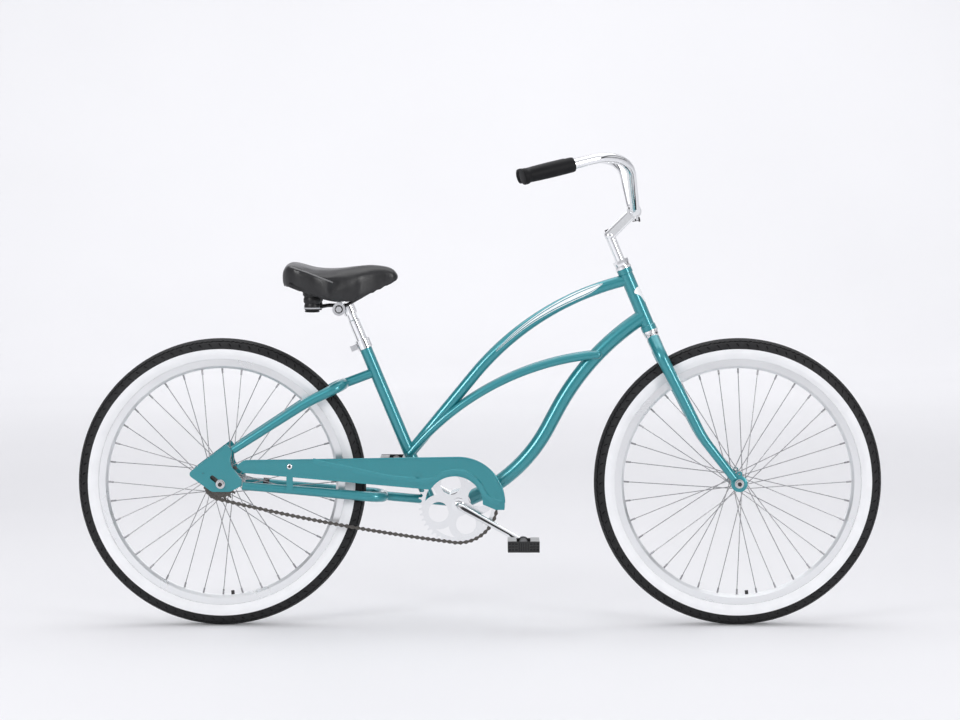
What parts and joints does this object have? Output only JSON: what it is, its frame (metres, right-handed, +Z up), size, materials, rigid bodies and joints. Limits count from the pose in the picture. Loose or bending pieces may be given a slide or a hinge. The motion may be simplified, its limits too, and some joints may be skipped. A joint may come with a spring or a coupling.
{
  "type": "beach cruiser bicycle",
  "caption": "Cruiser bicycle with curved step-over frame tubes, balloon tyres, swept-back handlebar, padded saddle, chain guard and a chain drive to a coaster hub.",
  "frame": {"origin": "on the ground, midway between the two axles, in the frame's middle plane", "axes": "+X forward, +Y to the rider's left, +Z up"},
  "size_m": [1.862, 0.6764, 1.0933],
  "materials": {
    "frame_paint": "metallic gloss",
    "chrome": "mirror",
    "rim_metal": "polished",
    "hub_metal": "satin",
    "steel": "satin",
    "spoke_steel": "satin",
    "chainring_metal": "polished",
    "chain_steel": "oiled",
    "tyre_rubber": "matt tread with a white wall",
    "tube_rubber": "matt",
    "grip_rubber": "ribbed",
    "bumper_rubber": "matt",
    "saddle_vinyl": "grained",
    "saddle_plastic": "moulded",
    "black_steel": "gloss",
    "pedal_plastic": "moulded",
    "tread_rubber": "matt"
  },
  "bodies": {
    "frame": {"head_tube": "frame_paint", "top_tube": "frame_paint", "mid_tubes": "frame_paint", "down_tube": "frame_paint", "seat_tube": "frame_paint", "bottom_bracket_shell": "frame_paint", "stay_yokes": "frame_paint", "chain_stays": "frame_paint", "seat_stays": "frame_paint", "rear_dropouts": "frame_paint", "chain_guard": "frame_paint", "chain_guard_brackets": "frame_paint", "seat_clamp": "chrome", "headset_cups": "chrome", "headset_bearings": "steel", "crank_cups": "chrome", "crank_bearings": "steel", "rear_axle": "steel", "rear_axle_hardware": "steel", "rear_hub_bearings": "steel", "brake_arm": "steel", "brake_arm_clip": "steel", "chain": "chain_steel"},
    "post": {"seat_post": "chrome", "saddle_clamp": "chrome"},
    "saddle": {"saddle_rails": "black_steel", "saddle_clamp_jaws": "chrome", "saddle_base": "saddle_plastic", "saddle_cover": "saddle_vinyl", "saddle_bumpers": "bumper_rubber"},
    "fork": {"steerer": "chrome", "fork_blades": "frame_paint", "fork_ends": "chrome", "headset_nuts": "chrome", "front_axle": "steel", "front_axle_hardware": "steel", "front_hub_bearings": "steel"},
    "steering_stem": {"stem": "chrome", "stem_bolts": "black_steel"},
    "bars": {"handlebar": "chrome", "grips": "grip_rubber"},
    "front_wheel": {"front_hub": "hub_metal", "front_spokes": "spoke_steel", "front_rim": "rim_metal", "front_tyre": "tyre_rubber", "front_inner_tube": "tube_rubber"},
    "rear_wheel": {"rear_hub": "hub_metal", "rear_spokes": "spoke_steel", "rear_rim": "rim_metal", "rear_tyre": "tyre_rubber", "rear_inner_tube": "tube_rubber"},
    "driver": {"rear_sprocket": "chain_steel"},
    "cranks": {"crank": "chrome", "chainring": "chainring_metal", "crank_cones": "chrome", "pedal_spindles": "steel"},
    "right_pedal": {"pedal_right": "pedal_plastic", "pedal_right_treads": "tread_rubber"},
    "left_pedal": {"pedal_left": "pedal_plastic", "pedal_left_treads": "tread_rubber"}
  },
  "joints": [
    {"name": "steering", "type": "hinge", "parent": "frame", "child": "fork", "pos_m": [0.55028, 0, 0.31346], "axis": [-0.3907, 0, 0.9205], "range_deg": [-90, 90]},
    {"name": "stem_height", "type": "slide", "parent": "fork", "child": "steering_stem", "axis": [-0.3907, 0, 0.9205], "range_m": [-0.03, 0.025]},
    {"name": "handlebar_tilt", "type": "hinge", "parent": "steering_stem", "child": "bars", "pos_m": [0.35501, 0, 0.96], "axis": [0, 1, 0], "range_deg": [-15, 15]},
    {"name": "seat_height", "type": "slide", "parent": "frame", "child": "post", "axis": [-0.3859, 0, 0.9225], "range_m": [-0.05, 0.1]},
    {"name": "saddle_tilt", "type": "hinge", "parent": "post", "child": "saddle", "pos_m": [-0.32507, 0, 0.73474], "axis": [0, 1, 0], "range_deg": [-10, 10]},
    {"name": "front_wheel_spin", "type": "hinge", "parent": "fork", "child": "front_wheel", "pos_m": [0.5975, 0, 0.3335], "axis": [0, 1, 0], "continuous": true},
    {"name": "rear_wheel_spin", "type": "hinge", "parent": "frame", "child": "rear_wheel", "pos_m": [-0.5975, 0, 0.3335], "axis": [0, 1, 0], "continuous": true},
    {"name": "crank_spin", "type": "hinge", "parent": "frame", "child": "cranks", "pos_m": [-0.04972, 0, 0.285], "axis": [0, 1, 0], "continuous": true, "deforming": ["chain"]},
    {"name": "sprocket_spin", "type": "hinge", "parent": "frame", "child": "driver", "pos_m": [-0.5975, 0, 0.3335], "axis": [0, 1, 0], "continuous": true},
    {"name": "right_pedal_spin", "type": "hinge", "parent": "cranks", "child": "right_pedal", "pos_m": [0.09911, -0.08, 0.20284], "axis": [0, 1, 0], "continuous": true},
    {"name": "left_pedal_spin", "type": "hinge", "parent": "cranks", "child": "left_pedal", "pos_m": [-0.19854, 0.08, 0.36716], "axis": [0, 1, 0], "continuous": true}
  ],
  "couplings": [
    {"joint": "sprocket_spin", "follows": "crank_spin", "ratio": 2.4444}
  ]
}
